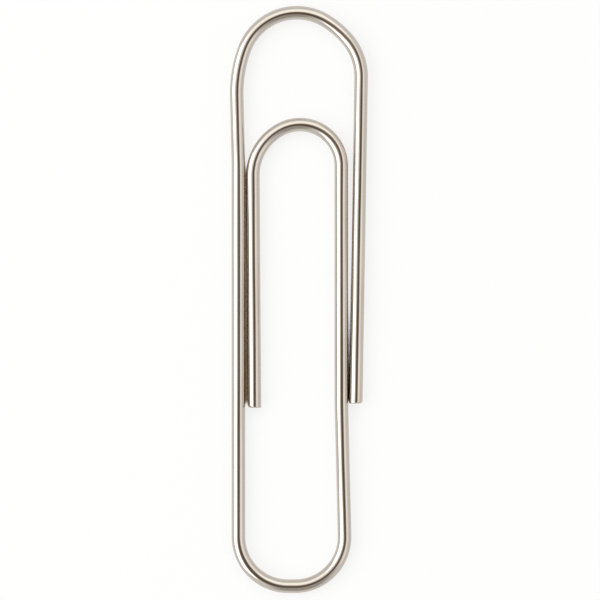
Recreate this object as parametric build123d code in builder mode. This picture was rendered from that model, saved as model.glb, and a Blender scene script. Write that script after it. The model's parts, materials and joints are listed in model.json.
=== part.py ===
from build123d import *
from math import cos, pi, radians, sin, tan
import os

# A paper clip: one length of bright round wire, bent flat into an outer and an inner loop.
# It lies on the desk, Z = 0, with its length along Y and the middle of its outline over the origin.
# The foot is the bend at -Y, and the crowns are the bends at +Y.
# Where the clip opens, the foot twists, so the two loops part at a square cut there, face to face:
# the outer loop stays on the desk, and the inner loop springs up round the wire's own axis.

# Driving dimensions, in millimetres
wire_diameter = 1.15
clip_length = 50.0
clip_width = 11.75
inner_crown_drop = 9.53     # from the outer crown down to the inner crown
outer_tip_height = 16.14    # from the foot up to the cut end of the outer leg
inner_tip_height = 15.78    # from the foot up to the cut end of the inner leg
side_gap = 0.08             # air between two legs where they lie side by side
twist_length = 0.6          # straight at the bottom of the foot
tip_round = 0.12            # worn edge round each cut end
waist_drop = 3.2            # from the inner crown down to the waist of the long leg
waist_radius = 20.0         # of the slight bend at the waist of a long leg

# Slopes that the bending leaves in the legs, in degrees
leg_flare = 1.4             # each long leg spreads towards the bend that it runs into
outer_leg_lean = 0.95       # the outer leg closes in towards its tip
inner_leg_lean = 0.4        # so does the inner leg

# A crown is a run of tangent arcs from its long leg to its free leg, half a turn in all: each
# arc's turn in degrees, and its radius as a share of the tightest one's
outer_crown_turns = (20, 101, 18, 41)
outer_crown_radius_shares = (2.3, 1, 1.6, 1.05)
inner_crown_turns = (117, 63)
inner_crown_radius_shares = (1, 1.26)


def crown_reach(turns, radius_shares):
    """Return how far a crown of unit radius goes across, up to its top and down again.

    The wire comes in straight up and leaves straight down. An arc carries it across by its radius
    times the fall in the sine of its heading, and up by the rise in the cosine. Past the top,
    where the heading is below zero, it carries it down by the fall in the cosine.
    """
    heading = 90
    across = 0
    rise = 0
    fall = 0
    for turn, radius_share in zip(turns, radius_shares):
        before = radians(heading)
        after = radians(heading - turn)
        across += radius_share * (sin(before) - sin(after))
        rise += radius_share * (cos(max(after, 0)) - cos(max(before, 0)))
        fall += radius_share * (cos(min(before, 0)) - cos(min(after, 0)))
        heading -= turn
    return across, rise, fall


def bend_crown(leg, radii, turns):
    """Carry the end of a leg round tangent arcs, clockwise where a turn is negative."""
    for radius, turn in zip(radii, turns):
        leg = JernArc(leg @ 1, leg % 1, radius, turn)
    return leg


wire_radius = wire_diameter / 2
foot_y = wire_radius - clip_length / 2
outer_crown_y = clip_length / 2 - wire_radius
inner_crown_y = outer_crown_y - inner_crown_drop
outer_tip_y = outer_tip_height - clip_length / 2
inner_tip_y = inner_tip_height - clip_length / 2
side_x = clip_width / 2 - wire_radius
leg_pitch = wire_diameter + side_gap
flare = radians(leg_flare)
lean = radians(outer_leg_lean)
waist_shift = waist_radius * (1 - cos(flare))
waist_rise = waist_radius * sin(flare)

# The outer crown spans the clip's width
across, rise, fall = crown_reach(outer_crown_turns, outer_crown_radius_shares)
outer_crown_radius = 2 * side_x / across
outer_radii = [outer_crown_radius * share for share in outer_crown_radius_shares]
crown_start_x = outer_radii[0] * (1 - cos(flare)) - side_x
crown_start_y = outer_crown_y - outer_crown_radius * rise - outer_radii[0] * sin(flare)
crown_end_x = side_x - outer_radii[-1] * (1 - cos(lean))
crown_end_y = outer_crown_y - outer_crown_radius * fall - outer_radii[-1] * sin(lean)

# The long leg is upright below its waist, and flares out to the crown above it
waist_y = inner_crown_y - waist_drop
upper_leg_rise = crown_start_y - waist_y
long_leg_x = crown_start_x + upper_leg_rise * tan(flare) + waist_shift

# The outer leg leans in from the crown to its tip
outer_leg_fall = crown_end_y - outer_tip_y
outer_tip_x = crown_end_x - outer_leg_fall * tan(lean)

# The inner loop lies beside the long leg on its left and beside the outer tip on its right
inner_left_x = long_leg_x + leg_pitch
inner_right_x = outer_tip_x - leg_pitch
across, rise, fall = crown_reach(inner_crown_turns, inner_crown_radius_shares)
inner_crown_radius = (inner_right_x - inner_left_x) / across
inner_radii = [inner_crown_radius * share for share in inner_crown_radius_shares]
inner_crown_start_y = inner_crown_y - inner_crown_radius * rise

# The foot joins the two long legs: the inner one flares out to it below the outer tip
flare_from_foot = (outer_tip_y - foot_y) * tan(flare) + waist_shift
foot_across = inner_right_x - long_leg_x - twist_length + flare_from_foot
foot_radius = foot_across / (1 + cos(flare) + (1 + sin(flare)) * tan(flare))
hinge = Vector(long_leg_x + foot_radius + twist_length / 2, foot_y, wire_radius)
half_twist = Vector(twist_length / 2, 0, 0)

# Outer loop: half of the foot, the long leg, the outer crown and the outer leg
with BuildPart() as outer_loop:
    with BuildLine() as outer_wire:
        twist = Line(hinge, hinge - half_twist)
        foot = JernArc(twist @ 1, twist % 1, foot_radius, -90)
        lower_leg = PolarLine(foot @ 1, waist_y - waist_rise - (foot @ 1).Y, direction=foot % 1)
        waist = JernArc(lower_leg @ 1, lower_leg % 1, waist_radius, leg_flare)
        upper_leg = PolarLine(
            waist @ 1, upper_leg_rise, direction=waist % 1, length_mode=LengthMode.VERTICAL
        )
        turns = [-turn for turn in outer_crown_turns]
        turns[0] -= leg_flare
        turns[-1] -= outer_leg_lean
        crown = bend_crown(upper_leg, outer_radii, turns)
        PolarLine(
            crown @ 1, outer_leg_fall, direction=crown % 1, length_mode=LengthMode.VERTICAL
        )
    with BuildSketch(Plane(hinge, z_dir=twist % 0)):
        Circle(wire_radius)
    sweep()
    cut_end = outer_loop.faces().filter_by(GeomType.PLANE).sort_by(Axis.X)[-1]
    fillet(cut_end.edges(), tip_round)

# Inner loop: the other half of the foot, the inner long leg, the inner crown and the inner leg
with BuildPart() as inner_loop:
    with BuildLine() as inner_wire:
        twist = Line(hinge, hinge + half_twist)
        foot = JernArc(twist @ 1, twist % 1, foot_radius, 90 + leg_flare)
        flared_leg = PolarLine(
            foot @ 1,
            outer_tip_y - (foot @ 1).Y,
            direction=foot % 1,
            length_mode=LengthMode.VERTICAL,
        )
        waist = JernArc(flared_leg @ 1, flared_leg % 1, waist_radius, -leg_flare)
        upright_leg = PolarLine(
            waist @ 1, inner_crown_start_y - (waist @ 1).Y, direction=waist % 1
        )
        turns = list(inner_crown_turns)
        turns[-1] += inner_leg_lean
        crown = bend_crown(upright_leg, inner_radii, turns)
        PolarLine(
            crown @ 1,
            (crown @ 1).Y - inner_tip_y,
            direction=crown % 1,
            length_mode=LengthMode.VERTICAL,
        )
    with BuildSketch(Plane(hinge, z_dir=twist % 0)):
        Circle(wire_radius)
    sweep()
    cut_end = inner_loop.faces().filter_by(GeomType.PLANE).sort_by(Axis.X)[0]
    fillet(cut_end.edges(), tip_round)

outer_loop.part.label = "outer_loop"
inner_loop.part.label = "inner_loop"

os.makedirs("parts", exist_ok=True)
export_step(outer_loop.part, "parts/outer_loop.step")
export_step(inner_loop.part, "parts/inner_loop.step")

# The volume of a true sweep is its section times its length, less the rounded edge of the tip
wire_section = pi * wire_radius**2
for piece, wire in ((outer_loop, outer_wire), (inner_loop, inner_wire)):
    length = sum(edge.length for edge in wire.edges())
    share = piece.part.volume / (wire_section * length)
    print(f"{piece.part.label}: {length:.2f} mm of wire, volume {share:.4f} of a straight one's")
print(f"twist axis along X through Y {hinge.Y:.4f}, Z {hinge.Z:.4f}, cut at X {hinge.X:.4f}")
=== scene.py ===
# %% [markdown]
# # A nickel-plated paper clip
#
# A paper clip is one length of hard steel wire, drawn to size, plated with nickel and bent flat into two
# nested loops. Nothing on it is screwed or glued: it grips because the wire is springy, and it opens because
# the bend at its foot can twist. The plain model of it is loaded here as a fixed frame. This lesson gives it
# a finer surface and a finish, and each new piece stays exactly where the plain one lies.

# %% Load the frame
import json

import bpy
import numpy as np
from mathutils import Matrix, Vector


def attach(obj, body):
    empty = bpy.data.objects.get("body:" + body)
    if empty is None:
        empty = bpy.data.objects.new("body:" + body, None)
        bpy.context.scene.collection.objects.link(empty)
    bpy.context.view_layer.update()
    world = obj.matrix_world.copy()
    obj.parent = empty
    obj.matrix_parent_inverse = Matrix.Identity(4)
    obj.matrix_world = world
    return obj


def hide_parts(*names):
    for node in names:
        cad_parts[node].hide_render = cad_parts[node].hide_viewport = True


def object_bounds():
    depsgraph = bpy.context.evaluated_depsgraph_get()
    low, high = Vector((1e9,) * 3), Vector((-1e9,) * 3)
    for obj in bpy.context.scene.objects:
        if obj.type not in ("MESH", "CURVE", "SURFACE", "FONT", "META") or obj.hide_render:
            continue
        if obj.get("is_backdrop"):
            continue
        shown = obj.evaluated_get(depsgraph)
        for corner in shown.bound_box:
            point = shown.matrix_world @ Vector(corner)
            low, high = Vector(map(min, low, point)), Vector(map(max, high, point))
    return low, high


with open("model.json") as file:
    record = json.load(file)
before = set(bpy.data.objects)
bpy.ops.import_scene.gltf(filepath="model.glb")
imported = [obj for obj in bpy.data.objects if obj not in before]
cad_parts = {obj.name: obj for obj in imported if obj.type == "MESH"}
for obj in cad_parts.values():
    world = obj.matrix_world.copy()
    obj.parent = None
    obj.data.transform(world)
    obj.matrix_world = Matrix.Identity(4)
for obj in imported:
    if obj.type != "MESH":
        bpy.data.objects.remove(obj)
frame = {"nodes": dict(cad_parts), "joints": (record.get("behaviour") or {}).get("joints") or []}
cad_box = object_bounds()
joint = frame["joints"][0]
print("nodes:", ", ".join(sorted(frame["nodes"])), "- joint:", joint["name"])

# %% [markdown]
# ## The sizes of the wire and of its bends
#
# A bright metal wire is hard to model in one way only: any flat facet shows as a break in its reflections.
# The plain model's facets are too coarse for that. Subdividing them would round them off, but it would also
# make the thin wire thinner. So the wire is drawn again from its own sizes, on a much finer grid. The overall
# box and the hinge come from the frame. The rest are the sizes that a wire bender would set on the machine,
# in metres, and the slopes that the bending leaves in the legs.

# %% Sizes
MM = 0.001
clip_width = 11.75 * MM
inner_crown_drop = 9.53 * MM
outer_tip_height, inner_tip_height = 16.14 * MM, 15.78 * MM
side_gap = 0.08 * MM
twist_length = 0.6 * MM
waist_drop, waist_radius = 3.2 * MM, 20 * MM
flare, outer_lean, inner_lean = np.radians([1.4, 0.95, 0.4])
box_low, box_high = (np.array(corner) for corner in cad_box)
wire_radius = (box_high[2] - box_low[2]) / 2
print(f"wire {2 * wire_radius / MM:.2f} mm thick, clip {(box_high - box_low)[1] / MM:.1f} mm long")

# %% Where the bends and the tips lie
foot_y = joint["pos_m"][1]
outer_crown_y = box_high[1] - wire_radius
inner_crown_y = outer_crown_y - inner_crown_drop
waist_y = inner_crown_y - waist_drop
outer_tip_y = box_low[1] + outer_tip_height
inner_tip_y = box_low[1] + inner_tip_height
side_x = clip_width / 2 - wire_radius
leg_pitch = 2 * wire_radius + side_gap
half_twist = twist_length / 2
print(f"crowns at y {outer_crown_y / MM:.2f} and {inner_crown_y / MM:.2f} mm, foot at {foot_y / MM:.2f} mm")

# %% [markdown]
# ## Crowns of tangent arcs
#
# The bends at the top of a clip are never true half circles. The wire springs back after it leaves the
# bending pin, so the curve opens out on one side. A run of arcs with a shared tangent at each meeting point
# describes that well, and needs only the turn of each arc and its radius as a share of the tightest one. A
# spline could follow the same outline, but its curvature would wander, and bright metal shows that.

# %% How far a crown reaches
outer_turns, outer_shares = np.radians([20, 101, 18, 41]), np.array([2.3, 1, 1.6, 1.05])
inner_turns, inner_shares = np.radians([117, 63]), np.array([1, 1.26])


def crown_reach(turns, shares):
    """Return how far a crown of unit radius goes across, up to its top, and down again.

    An arc moves the wire across by its radius times the fall in the sine of its heading, and up or down by
    its radius times the change in the cosine. The headings run from straight up to straight down.
    """
    heading = np.pi / 2 - np.concatenate([[0], np.cumsum(turns)])
    across = -np.sum(shares * np.diff(np.sin(heading)))
    rise = np.sum(shares * np.diff(np.cos(np.maximum(heading, 0))))
    fall = -np.sum(shares * np.diff(np.cos(np.minimum(heading, 0))))
    return across, rise, fall


outer_reach = crown_reach(outer_turns, outer_shares)
outer_radii = 2 * side_x / outer_reach[0] * outer_shares
print("outer crown radii, mm:", np.round(outer_radii / MM, 2))

# %% [markdown]
# ## How the loops nest
#
# The crown spans the clip's width, and everything else hangs from it. The long leg runs down from its left
# end, flared at first and upright below a slight waist. The outer leg leans in from its right end to the tip.
# The inner loop lies a wire's thickness and a hair's breadth inside them both, so its width is what they
# leave, and the foot joins the two long legs. Measuring every corner in a picture would be quicker, but then
# the legs would cross or gape as soon as one size is changed.

# %% Where the outer loop's legs stand
tightest = outer_radii.min()
crown_start_x = outer_radii[0] * (1 - np.cos(flare)) - side_x
crown_start_y = outer_crown_y - tightest * outer_reach[1] - outer_radii[0] * np.sin(flare)
crown_end_x = side_x - outer_radii[-1] * (1 - np.cos(outer_lean))
crown_end_y = outer_crown_y - tightest * outer_reach[2] - outer_radii[-1] * np.sin(outer_lean)
waist_shift = waist_radius * (1 - np.cos(flare))
waist_rise = waist_radius * np.sin(flare)
long_leg_x = crown_start_x + (crown_start_y - waist_y) * np.tan(flare) + waist_shift
outer_tip_x = crown_end_x - (crown_end_y - outer_tip_y) * np.tan(outer_lean)
print(f"long leg at x {long_leg_x / MM:.3f} mm, outer tip at x {outer_tip_x / MM:.3f} mm")

# %% Where the inner loop nests in it
inner_left_x = long_leg_x + leg_pitch
inner_right_x = outer_tip_x - leg_pitch
inner_reach = crown_reach(inner_turns, inner_shares)
inner_radii = (inner_right_x - inner_left_x) / inner_reach[0] * inner_shares
inner_start_y = inner_crown_y - inner_radii.min() * inner_reach[1]
inner_end_y = inner_crown_y - inner_radii.min() * inner_reach[2] - inner_radii[-1] * np.sin(inner_lean)
flare_from_foot = (outer_tip_y - foot_y) * np.tan(flare) + waist_shift
foot_across = inner_right_x - long_leg_x - twist_length + flare_from_foot
foot_radius = foot_across / (1 + np.cos(flare) + (1 + np.sin(flare)) * np.tan(flare))
print("inner crown radii, mm:", np.round(inner_radii / MM, 2), f"foot radius {foot_radius / MM:.2f} mm")

# %% [markdown]
# ## The wire as a walk along its middle
#
# Both loops start at the hinge in the foot, where the wire runs along X, and end at a cut tip. Each is a list
# of runs: a length, and the turn made over that length, which is zero on a straight. A curve object with a
# round bevel could follow them too, but it gives no say over the rings at the tip. Here the heading grows
# evenly within each run, so one interpolation gives it at every station, and a running sum of small steps
# gives the places. Nothing loops over points.


# %% Runs of both loops
def arcs(radii, turns):
    """Return runs (length, turn) for arcs, each as long as its radius times its turn."""
    return [(radius * abs(turn), turn) for radius, turn in zip(radii, turns)]


outer_turns[0] += flare
outer_turns[-1] += outer_lean
outer_runs = [
    (half_twist, 0),
    *arcs([foot_radius], [-np.pi / 2]),
    (waist_y - waist_rise - foot_y - foot_radius, 0),
    *arcs([waist_radius], [flare]),
    ((crown_start_y - waist_y) / np.cos(flare), 0),
    *arcs(outer_radii, -outer_turns),
    ((crown_end_y - outer_tip_y) / np.cos(outer_lean), 0),
]
inner_turns[-1] += inner_lean
foot_end_y = foot_y + foot_radius * (1 + np.sin(flare))
inner_runs = [
    (half_twist, 0),
    *arcs([foot_radius], [np.pi / 2 + flare]),
    ((outer_tip_y - foot_end_y) / np.cos(flare), 0),
    *arcs([waist_radius], [-flare]),
    (inner_start_y - outer_tip_y - waist_rise, 0),
    *arcs(inner_radii, inner_turns),
    ((inner_end_y - inner_tip_y) / np.cos(inner_lean), 0),
]
for name, runs in (("outer", outer_runs), ("inner", inner_runs)):
    print(f"{name} loop: {len(runs)} runs, {sum(length for length, turn in runs) / MM:.2f} mm of wire")

# %% Walk along the runs
STEP = 0.16 * MM
hinge = np.array([long_leg_x + foot_radius + half_twist, foot_y, wire_radius])


def walk(runs, first_heading):
    """Return the distance, place, heading and bend (turn per metre) at even stations along the runs.

    A short step from one station to the next goes its own length at the heading half-way along it, and a
    place is the start plus the sum of the steps so far.
    """
    lengths, turns = np.array(runs).T
    ends = np.concatenate([[0], np.cumsum(lengths)])
    headings = first_heading + np.concatenate([[0], np.cumsum(turns)])
    distance, step = np.linspace(0, ends[-1], int(ends[-1] / STEP), retstep=True)
    half_way = np.interp(distance[:-1] + step / 2, ends, headings)
    steps = step * np.stack([np.cos(half_way), np.sin(half_way), 0 * half_way], axis=1)
    place = hinge + np.concatenate([np.zeros((1, 3)), np.cumsum(steps, axis=0)])
    heading = np.interp(distance, ends, headings)
    return distance, place, heading, np.gradient(heading, distance)


outer_walk = walk(outer_runs, np.pi)
inner_walk = walk(inner_runs, 0)
print("tips, mm:", np.round(outer_walk[1][-1] / MM, 3), np.round(inner_walk[1][-1] / MM, 3))

# %% [markdown]
# ## A round wire with a sheared end
#
# The side of the wire is a circle carried along the walk: one parameter is the distance, and the other the
# angle round the wire. The tip isn't a clean slice. A shear rolls the edge over where the blade goes in, and
# leaves it sharp where the wire breaks off, so the rounding of the rim changes with the angle. The end face
# has a smooth half, which the blade cut, and a lower, torn half. A bevel would round the whole rim alike. A
# few more rings, with their own radius and depth at each angle, make all of that, and the same grid closes
# the tip at a pole.
#
# The other end lies in the foot, where the two loops meet. It is a flat disc with a sharp rim, so the
# reflections run on over the joint as they do on the unbroken wire.

# %% Rings of the side
AROUND = 72
angle = np.linspace(0, 2 * np.pi, AROUND, endpoint=False)


def side_rings(stations):
    """Return depth along the wire, radius and bareness of the plated side, one ring for each station."""
    full = np.ones((len(stations), AROUND))
    return stations[:, None] * full, wire_radius * full, 0 * full


print(f"{AROUND} points round the wire, a ring every {STEP / MM} mm")

# %% Rings of the tip
RIM_RINGS, FACE_RINGS = 9, 16
ROLLED_EDGE, SHARP_EDGE = 0.24 * MM, 0.05 * MM
TORN_STEP = 0.05 * MM
TEAR_LEVEL, TEAR_SWAY, TEAR_WAVES, TEAR_BLUR = 0.12, 0.1, 3, 0.06
LAST_RING_SHARE = 0.06
PLATED_TO, BARE_RATE = 1.1, 2


def tip_rings(length, rolled_side):
    """Return depth, radius and bareness of the rings from the rolled rim over the end face.

    The rim is a quarter circle whose radius swings with the cosine of the angle from the rolled side, between
    the sharp and the rolled size, and its plating is gone near the face. On the face, the radius falls
    evenly, and the depth drops by a smooth step from the half that was cut to the half that was torn. The
    line of the tear sways with the sine of a few times the angle.
    """
    swing = (1 + np.cos(angle - rolled_side)) / 2
    edge = SHARP_EDGE + (ROLLED_EDGE - SHARP_EDGE) * swing
    quarter = np.linspace(0, np.pi / 2, RIM_RINGS)[:, None]
    rim_depth = length - edge * (1 - np.sin(quarter))
    rim_radius = wire_radius - edge * (1 - np.cos(quarter))
    rim_bare = np.clip(BARE_RATE * (quarter - PLATED_TO), 0, 1) + 0 * edge
    share = np.linspace(1, LAST_RING_SHARE, FACE_RINGS)[1:, None]
    face_radius = (wire_radius - edge) * share
    height = face_radius * np.cos(angle - rolled_side) / wire_radius
    above_tear = height + TEAR_LEVEL + TEAR_SWAY * np.sin(TEAR_WAVES * angle)
    torn = 1 / (1 + np.exp(above_tear / TEAR_BLUR))
    face_depth = length - TORN_STEP * torn * (1 - share)
    depth = np.concatenate([rim_depth, face_depth])
    radius = np.concatenate([rim_radius, face_radius])
    bare = np.concatenate([rim_bare, np.ones_like(face_depth)])
    return depth, radius, bare


print(f"rim rounded by {SHARP_EDGE / MM} to {ROLLED_EDGE / MM} mm, torn half {TORN_STEP / MM} mm lower")


# %% The surface of one loop
def loop_surface(walked, rolled_side, way):
    """Return the surface's points, and for each its place on the straight wire, stretch and bareness.

    A point stands at its depth along the walk, plus its radius times the cosine of its angle to the left of
    the heading, and times the sine of it upwards. Unbent, it would lie at its depth and the same two shares
    of its radius, counted from the hinge one way for one loop and the other way for the other, so that marks
    run on through the foot. A bend stretches it by how far it lies outside the middle, times the turn per
    metre.
    """
    distance, place, heading, bend = walked
    length = distance[-1]
    side = side_rings(distance[distance < length - ROLLED_EDGE - STEP / 2])
    tip = tip_rings(length, rolled_side)
    depth, radius, bare = (np.concatenate(pair) for pair in zip(side, tip))
    turned = np.interp(depth, distance, heading)
    middle = np.stack([np.interp(depth, distance, place[:, axis]) for axis in range(3)], axis=-1)
    left = np.stack([-np.sin(turned), np.cos(turned), 0 * turned], axis=-1)
    sideways, upwards = radius * np.cos(angle), radius * np.sin(angle)
    points = middle + sideways[..., None] * left
    points[..., 2] += upwards
    straight = np.stack([way * depth, way * sideways, upwards], axis=-1)
    stretch = -sideways * np.interp(depth, distance, bend)
    return points, straight, stretch, bare


outer_surface = loop_surface(outer_walk, 0, way=-1)
inner_surface = loop_surface(inner_walk, np.pi, way=1)
for name, surface in (("outer", outer_surface), ("inner", inner_surface)):
    print(f"{name} loop: {surface[0].shape[0]} rings, stretched by up to {surface[2].max():.1%} in its bends")

# %% [markdown]
# ## From grids to meshes
#
# Each grid becomes one closed mesh: four-sided faces between neighbouring rings, wrapped round at the last
# angle, and a fan of triangles to a pole at each end. The bmesh module could bridge the rings one by one, but
# whole arrays of corner numbers are shorter and faster. What the finish needs to know about a point goes
# along as attributes: where it lay on the straight wire, how far the bend stretched it, and whether its
# plating is cut away.

# %% Close a grid into a mesh
ATTRIBUTES = (
    ("straight_wire", "FLOAT_VECTOR", "vector"),
    ("stretch", "FLOAT", "value"),
    ("bare", "FLOAT", "value"),
)


def with_poles(grid):
    """Return a grid's values as one list, then the mean of its first ring and the mean of its last."""
    return np.concatenate([grid.reshape(-1, *grid.shape[2:]), [grid[0].mean(0)], [grid[-1].mean(0)]])


def closed_faces(rings):
    """Return the corners of all faces: squares between rings, then a fan to each pole."""
    index = np.arange(rings * AROUND).reshape(rings, AROUND)
    following = np.roll(index, -1, axis=1)
    squares = np.stack([index[:-1], following[:-1], following[1:], index[1:]], axis=-1).reshape(-1, 4)
    first_fan = np.stack([following[0], index[0], np.full(AROUND, rings * AROUND)], axis=-1)
    last_fan = np.stack([index[-1], following[-1], np.full(AROUND, rings * AROUND + 1)], axis=-1)
    return squares.tolist() + first_fan.tolist() + last_fan.tolist()


def close_grid(name, surface):
    """Return a smooth mesh object of the grid, where only the rim of its first disc is sharp."""
    points, *fields = (with_poles(grid) for grid in surface)
    mesh = bpy.data.meshes.new(name)
    mesh.from_pydata(points.tolist(), [], closed_faces(surface[0].shape[0]))
    mesh.shade_smooth()
    ends = np.empty(2 * len(mesh.edges), int)
    mesh.edges.foreach_get("vertices", ends)
    mesh.edges.foreach_set("use_edge_sharp", (ends.reshape(-1, 2) < AROUND).all(axis=1))
    for (label, kind, key), field in zip(ATTRIBUTES, fields):
        mesh.attributes.new(label, kind, "POINT").data.foreach_set(key, field.ravel())
    piece = bpy.data.objects.new(name, mesh)
    bpy.context.scene.collection.objects.link(piece)
    return piece


print("attributes for the finish:", ", ".join(label for label, kind, key in ATTRIBUTES))


# %% Measure a mesh
def signed_volume(mesh):
    """Return the volume inside the mesh, positive where its faces point outwards.

    Each triangle adds a sixth of the product of its first corner with the cross product of the other two.
    """
    mesh.calc_loop_triangles()
    corners = np.empty(3 * len(mesh.loop_triangles), int)
    mesh.loop_triangles.foreach_get("vertices", corners)
    places = np.empty(3 * len(mesh.vertices))
    mesh.vertices.foreach_get("co", places)
    a, b, c = places.reshape(-1, 3)[corners.reshape(-1, 3)].transpose(1, 0, 2)
    return np.sum(a * np.cross(b, c)) / 6


section = np.pi * wire_radius**2
outer_plain, inner_plain = (section * walked[0][-1] / MM**3 for walked in (outer_walk, inner_walk))
print(f"wires of these lengths with square ends would hold {outer_plain:.2f} and {inner_plain:.2f} cubic mm")

# %% Hang both loops on their bodies
loops = []
for body, surface in (("outer_loop", outer_surface), ("inner_loop", inner_surface)):
    piece = close_grid(f"{body}_wire", surface)
    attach(piece, body)
    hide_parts(body)
    loops.append(piece)
    volume = signed_volume(piece.data) / MM**3
    print(f"{piece.name}: {len(piece.data.polygons)} faces, {volume:.2f} cubic mm inside")

# %% [markdown]
# ## Sums of signals
#
# A finish is arithmetic on patterns. Wiring each sum by hand in the node editor is slow to read, so one small
# class stands for an output socket: adding or multiplying two of them adds a Math node, and `node` adds any
# other kind.


# %% A signal in a node tree
class Signal:
    """An output socket of a node tree, which can be used in sums like a number."""

    def __init__(self, tree, socket=None):
        self.tree = tree
        self.socket = socket

    def node(self, kind, settings=None, sockets=None, output=0):
        """Add a node of this kind, make its settings, then fill its sockets with values or signals."""
        made = self.tree.nodes.new(kind)
        for name, value in (settings or {}).items():
            setattr(made, name, value)
        for name, value in (sockets or {}).items():
            if isinstance(value, Signal):
                self.tree.links.new(value.socket, made.inputs[name])
            else:
                made.inputs[name].default_value = value
        return Signal(self.tree, made.outputs[output] if made.outputs else None)

    def maths(self, operation, first, second=0.0):
        """Add a Math node on one or two numbers or signals."""
        return self.node("ShaderNodeMath", {"operation": operation}, {0: first, 1: second})

    def __add__(self, other):
        return self.maths("ADD", self, other)

    def __sub__(self, other):
        return self.maths("SUBTRACT", self, other)

    def __mul__(self, other):
        return self.maths("MULTIPLY", self, other)

    def __truediv__(self, other):
        return self.maths("DIVIDE", self, other)

    def __radd__(self, other):
        return self.maths("ADD", other, self)

    def __rsub__(self, other):
        return self.maths("SUBTRACT", other, self)

    def __rmul__(self, other):
        return self.maths("MULTIPLY", other, self)

    def __rtruediv__(self, other):
        return self.maths("DIVIDE", other, self)

    def axis(self, number):
        """Return one coordinate of this vector: 0 for X, 1 for Y and 2 for Z."""
        return self.node("ShaderNodeSeparateXYZ", {}, {0: self}, output=number)

    def ramp(self, low, high):
        """Rise smoothly from 0 at low to 1 at high."""
        span = {"Value": self, "From Min": low, "From Max": high}
        return self.node("ShaderNodeMapRange", {"interpolation_type": "SMOOTHSTEP"}, span)

    def blend(self, first, second):
        """Go from the first colour, where this signal is 0, to the second, where it is 1."""
        colours = {"Factor": self, "A": first, "B": second}
        return self.node("ShaderNodeMix", {"data_type": "RGBA"}, colours, output=2)


def blank_canvas(owner):
    """Empty the node tree of a material or a world, and return a signal that adds nodes to it."""
    owner.use_nodes = True
    owner.node_tree.nodes.clear()
    return Signal(owner.node_tree)


print("signals can be added, subtracted, multiplied and divided")

# %% [markdown]
# ## Nickel on drawn steel
#
# Nickel is a warm white metal: it reflects less blue than red. On wire it is bright but not a perfect mirror.
# The drawing die leaves fine lines along the wire, and straightening leaves it very slightly flat in places.
# Handling leaves dimples, small scuffs and smears, the plating dulls in patches, and on the outside of a bend
# it is pulled and goes slightly hazy. The cut ends show bare grey steel. A pattern in plain coordinates would
# cut straight through every bend. So the patterns are made on the straight wire, where each point lay before
# it was bent, and the lines follow the wire round.

# %% Patterns on the straight wire
finish = bpy.data.materials.new("nickel_plated_wire")
canvas = blank_canvas(finish)
straight_wire = canvas.node("ShaderNodeAttribute", {"attribute_name": "straight_wire"}, output="Vector")
stretch = canvas.node("ShaderNodeAttribute", {"attribute_name": "stretch"}, output="Fac")
bare = canvas.node("ShaderNodeAttribute", {"attribute_name": "bare"}, output="Fac")


def pattern(length, width, detail=2.0):
    """Return a cloud pattern from 0 to 1, with marks about this long along the wire and this wide."""
    marks_per_metre = (1 / length, 1 / width, 1 / width)
    place = canvas.node(
        "ShaderNodeVectorMath", {"operation": "MULTIPLY"}, {0: straight_wire, 1: marks_per_metre}
    )
    return canvas.node("ShaderNodeTexNoise", {}, {"Vector": place, "Scale": 1.0, "Detail": detail})


draw_lines = pattern(length=6 * MM, width=0.05 * MM)
scuffs = pattern(length=0.06 * MM, width=0.9 * MM).ramp(0.66, 0.74)
dimples = pattern(length=0.4 * MM, width=0.4 * MM)
flats = pattern(length=7 * MM, width=0.9 * MM, detail=0.0)
smears = pattern(length=3.5 * MM, width=1.2 * MM).ramp(0.5, 0.7)
tarnish = pattern(length=7 * MM, width=0.8 * MM).ramp(0.45, 0.75)
torn_grain = pattern(length=0.05 * MM, width=0.05 * MM, detail=4.0)
haze = stretch.ramp(0.03, 0.15)
print("patterns:", len(finish.node_tree.nodes), "nodes so far")

# %% Colour and roughness
NICKEL = (0.574, 0.529, 0.474, 1)
TARNISHED = (0.5, 0.44, 0.37, 1)
BARE_STEEL = (0.32, 0.31, 0.3, 1)
TARNISH_DEPTH = 0.5
POLISH = 0.06
plating = (TARNISH_DEPTH * tarnish).blend(NICKEL, TARNISHED)
colour = bare.blend(plating, BARE_STEEL)
# What each mark adds to the roughness of clean plating
roughened = ((0.05, draw_lines), (0.06, smears), (0.1, scuffs), (0.05, haze), (0.3, bare))
roughness = POLISH
for share, mark in roughened:
    roughness = roughness + share * mark
most = POLISH + sum(share for share, mark in roughened)
print(f"roughness from {POLISH} on clean plating to {most:.2f} where every mark meets")

# %% Relief, and the whole finish
EDGE_TINT = (0.86, 0.83, 0.8, 1)
LINE_DEPTH, DIMPLE_DEPTH, FLAT_DEPTH = 0.0008 * MM, 0.0008 * MM, 0.05 * MM
HAZE_DEPTH, SCUFF_DEPTH, GRAIN_DEPTH = 0.0002 * MM, 0.0003 * MM, 0.016 * MM
relief = LINE_DEPTH * draw_lines + DIMPLE_DEPTH * dimples + FLAT_DEPTH * flats
relief = relief + HAZE_DEPTH * haze * draw_lines - SCUFF_DEPTH * scuffs + GRAIN_DEPTH * bare * torn_grain
bumped = canvas.node("ShaderNodeBump", {}, {"Strength": 1.0, "Distance": 1.0, "Height": relief})
sockets = {"Base Color": colour, "Roughness": roughness, "Normal": bumped}
sockets |= {"Metallic": 1.0, "Specular Tint": EDGE_TINT}
metal = canvas.node("ShaderNodeBsdfPrincipled", {}, sockets)
canvas.node("ShaderNodeOutputMaterial", {}, {"Surface": metal})
for piece in loops:
    piece.data.materials.append(finish)
print(f"{finish.name}: {len(finish.node_tree.nodes)} nodes")

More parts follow.
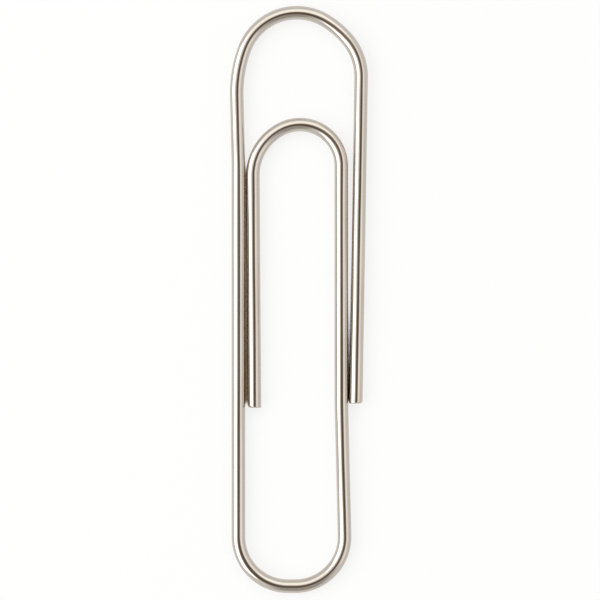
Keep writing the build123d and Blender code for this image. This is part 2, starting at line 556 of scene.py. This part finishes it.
# %% [markdown]
# ## A white table
#
# The clip lies on plain white paper. A white floor under soft light comes out a little grey. More light would
# burn out the metal, so most of what the camera sees of the floor, and what the metal mirrors, is lifted to
# white instead. The rest is an honest matt floor, which keeps the clip's shadow.
#
# In the narrow gaps between two legs, hardly any light reaches the paper without bouncing between the warm
# wires, so it looks brown there, and black on the right, where the outer tip all but touches the inner loop.
# That many bounces would be slow and noisy to trace, so the shade is painted onto the paper instead. The
# Ambient Occlusion node says how open each spot of the paper is, and the most closed ones are painted brown,
# or black on the right. The painted shade narrows towards the upper right, where more light falls in, and
# thins out below the tips, where the gaps end.


# %% Rays that see the table
def seen_rays(canvas):
    """Return 1 for a ray from the camera, off a mirror or through glass, and 0 for one that only lights."""
    kinds = ("Is Camera Ray", "Is Glossy Ray", "Is Transmission Ray")
    camera, glossy, through = (canvas.node("ShaderNodeLightPath", output=kind) for kind in kinds)
    return canvas.maths("MINIMUM", camera + glossy + through, 1.0)


paper = bpy.data.materials.new("white_paper")
canvas = blank_canvas(paper)
seen = seen_rays(canvas)
print("rays that see the table:", len(paper.node_tree.nodes), "nodes")

# %% Painted shade in the gaps
WHITE = (1, 1, 1, 1)
# Colours of the painted shade on the paper: brown in the narrowest gaps, and black towards the right
BROWN_PAINTED_SHADE, BLACK_PAINTED_SHADE = (0.14, 0.083, 0.036, 1), (0.012, 0.004, 0.001, 1)
CLOSED, OPEN = 0.235, 0.275
CORNER_SHADE_EASE = 0.142
LOWER_LEFT, UPPER_RIGHT = -19 * MM, 12 * MM
reach = {"Distance": 2 * wire_radius}
openness = canvas.node("ShaderNodeAmbientOcclusion", {"samples": 64}, reach, output="AO")
place = canvas.node("ShaderNodeTexCoord", output="Object")
table_x, table_y = place.axis(0), place.axis(1)
# The painted shade is eased off towards the upper right and below the tips
corner_shade_ease = CORNER_SHADE_EASE * (table_x + table_y).ramp(LOWER_LEFT, UPPER_RIGHT)
below_tips = 1 - table_y.ramp(foot_y, inner_tip_y)
gap_shade = table_x.ramp(0.0, inner_right_x).blend(BROWN_PAINTED_SHADE, BLACK_PAINTED_SHADE)
# The most closed spots of the paper are painted with the gap shade, and the rest stays white
painted_shade = (openness + corner_shade_ease + below_tips).ramp(CLOSED, OPEN).blend(gap_shade, WHITE)
print("gap shade:", len(paper.node_tree.nodes), "nodes so far")

# %% The floor
FLOOR_HALF, LIFT, CONTACT = 1.5, 0.78, 0.12
# Both the matt floor and its white lift carry the painted gap shade
matt = canvas.node("ShaderNodeBsdfDiffuse", {}, {"Color": painted_shade})
white = canvas.node("ShaderNodeEmission", {}, {"Color": painted_shade, "Strength": 1.0})
lift = LIFT * seen * openness.ramp(0.0, CONTACT)
lifted = canvas.node("ShaderNodeMixShader", {}, {0: lift, 1: matt, 2: white})
canvas.node("ShaderNodeOutputMaterial", {}, {"Surface": lifted})

floor_mesh = bpy.data.meshes.new("floor")
corners = FLOOR_HALF * np.array([[-1, -1, 0], [1, -1, 0], [1, 1, 0], [-1, 1, 0]]) + [0, 0, box_low[2]]
floor_mesh.from_pydata(corners.tolist(), [], [(0, 1, 2, 3)])
floor_mesh.materials.append(paper)
floor = bpy.data.objects.new("floor", floor_mesh)
bpy.context.scene.collection.objects.link(floor)
floor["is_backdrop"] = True
print("floor at z", round(floor_mesh.vertices[0].co.z, 6))

# %% [markdown]
# ## The room in the metal
#
# A bright wire has hardly any colour of its own to show: it shows the room. Here that is a white studio, with
# a dark oval overhead, where the camera hangs. The oval lies aslant, has a brown edge and draws the dark line
# along the top of the wire, which would look like grey plastic without it. The side where the camera's stand
# is, below the foot, is darker too, and so is the horizon. All of it could be black cards on stands, but in
# the sky of the scene their edges can be soft.

# %% Where a ray looks
LOWEST = 0.01
world = bpy.data.worlds.new("studio")
bpy.context.scene.world = world
canvas = blank_canvas(world)
direction = canvas.node("ShaderNodeTexCoord", output="Generated")
x, y, z = (direction.axis(number) for number in range(3))
# A ray that looks level would divide by zero
up = canvas.maths("MAXIMUM", z, LOWEST)
across, along = x / up, y / up
print("where a ray looks:", len(world.node_tree.nodes), "nodes")

# %% The dark places of the room
OVAL_LENGTH, OVAL_WIDTH, OVAL_SHIFT = 0.95, 0.5, 0.22
# Each pair is where a fade starts and ends
CORE_FADE, EDGE_FADE = (0.45, 0.9), (0.7, 1.15)
STAND_NEAR, STAND_LOW, STAND_LEFT, STAND_RIGHT = (0.15, 0.55), (0.12, 0.3), (-0.4, -0.05), (0.3, 0.75)
HORIZON_FADE = (0.05, 0.2)
lengthways = (across + along) / OVAL_LENGTH
crossways = (across - along - OVAL_SHIFT) / OVAL_WIDTH
off_centre = canvas.maths("SQRT", lengthways * lengthways + crossways * crossways)
oval_core = 1 - off_centre.ramp(*CORE_FADE)
oval_edge = 1 - off_centre.ramp(*EDGE_FADE)
below_foot = (-1 * y).ramp(*STAND_NEAR) * z.ramp(*STAND_LOW)
stand = below_foot * x.ramp(*STAND_LEFT) * (1 - x.ramp(*STAND_RIGHT))
horizon = 1 - z.ramp(*HORIZON_FADE)
print("dark places:", len(world.node_tree.nodes), "nodes so far")

# %% Studio
SOFT_LEVEL = 0.7
# How far the room goes dark, where, and towards which colour
shades = (
    (0.3, horizon, (0.1, 0.08, 0.06, 1)),
    (0.58, stand, (0.1, 0.07, 0.05, 1)),
    (0.75, oval_edge, (0.32, 0.2, 0.12, 1)),
    (0.75, oval_core, (0.05, 0.032, 0.02, 1)),
)
room = WHITE
for depth, shape, shade in shades:
    room = (depth * shape).blend(room, shade)
level = SOFT_LEVEL + (1 - SOFT_LEVEL) * seen_rays(canvas)
background = canvas.node("ShaderNodeBackground", {}, {"Color": room, "Strength": level})
canvas.node("ShaderNodeOutputWorld", {}, {"Surface": background})
print("studio:", len(world.node_tree.nodes), "nodes")

# %% [markdown]
# ## Soft lights
#
# A large window on the left gives the wire its white band and the table its soft shadow. A weaker, warmer
# light beyond the crown does the same for the bends, and a narrow one on the right draws a thin pale line
# beside the dark one. They could be painted into the sky as well, but lamps cast softer and cleaner shadows.

# %% Lamps
LIGHT_DISTANCE = 0.6
PLAIN, WARM = (1, 1, 1), (1, 0.97, 0.92)


def soft_light(name, bearing, elevation, size, watts, colour):
    """Add a rectangular light that faces the clip, at a bearing from +X and an elevation in degrees.

    It stands along the cosines and sines of the two angles, and is tilted down by the elevation.
    """
    turn, rise = np.radians([bearing, elevation])
    toward = np.array([np.cos(turn) * np.cos(rise), np.sin(turn) * np.cos(rise), np.sin(rise)])
    lamp = bpy.data.lights.new(name, "AREA")
    lamp.shape = "RECTANGLE"
    lamp.size, lamp.size_y = size
    lamp.energy, lamp.color = watts, colour
    light = bpy.data.objects.new(name, lamp)
    light.location = LIGHT_DISTANCE * toward
    light.rotation_euler = (np.pi / 2 - rise, 0, turn + np.pi / 2)
    light.visible_camera = False
    bpy.context.scene.collection.objects.link(light)
    print(f"{name}: {watts} W from {bearing} degrees round and {elevation} up")


soft_light("window_light", bearing=188, elevation=38, size=(0.8, 0.52), watts=2.2, colour=PLAIN)
soft_light("crown_light", bearing=105, elevation=50, size=(0.85, 0.4), watts=0.7, colour=WARM)
soft_light("fill_light", bearing=10, elevation=46, size=(0.9, 0.28), watts=0.27, colour=WARM)

# %% [markdown]
# ## The camera
#
# The clip is seen from straight above. A camera without perspective would do, but a real one has a lens, so
# this is a long one, high up, through which the wire keeps the same width all over the picture.

# %% Camera
LENS, SENSOR = 200.0, 36.0
VIEW_WIDTH = 51.11 * MM
VIEW_X, VIEW_Y = 0.091 * MM, -0.049 * MM
camera_data = bpy.data.cameras.new("camera")
camera_data.lens, camera_data.sensor_width = LENS, SENSOR
camera = bpy.data.objects.new("camera", camera_data)
camera.location = (VIEW_X, VIEW_Y, wire_radius + VIEW_WIDTH * LENS / SENSOR)
bpy.context.scene.collection.objects.link(camera)
bpy.context.scene.camera = camera
bpy.context.scene.view_settings.view_transform = "Standard"
print(f"camera {camera.location.z:.3f} m above the table")

# %% [markdown]
# ## Sizes and the end
#
# The dressed clip has to fill the same box as the plain one. Both boxes are measured at the end, and how far
# they lie apart is printed.

# %% Compare the boxes and finish
bpy.context.view_layer.update()
boxes = {"cad": [list(corner) for corner in cad_box], "visual": [list(corner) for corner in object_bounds()]}
apart = np.abs(np.subtract(boxes["cad"], boxes["visual"])).max()
print(f"the boxes agree to {apart / MM:.3f} mm")
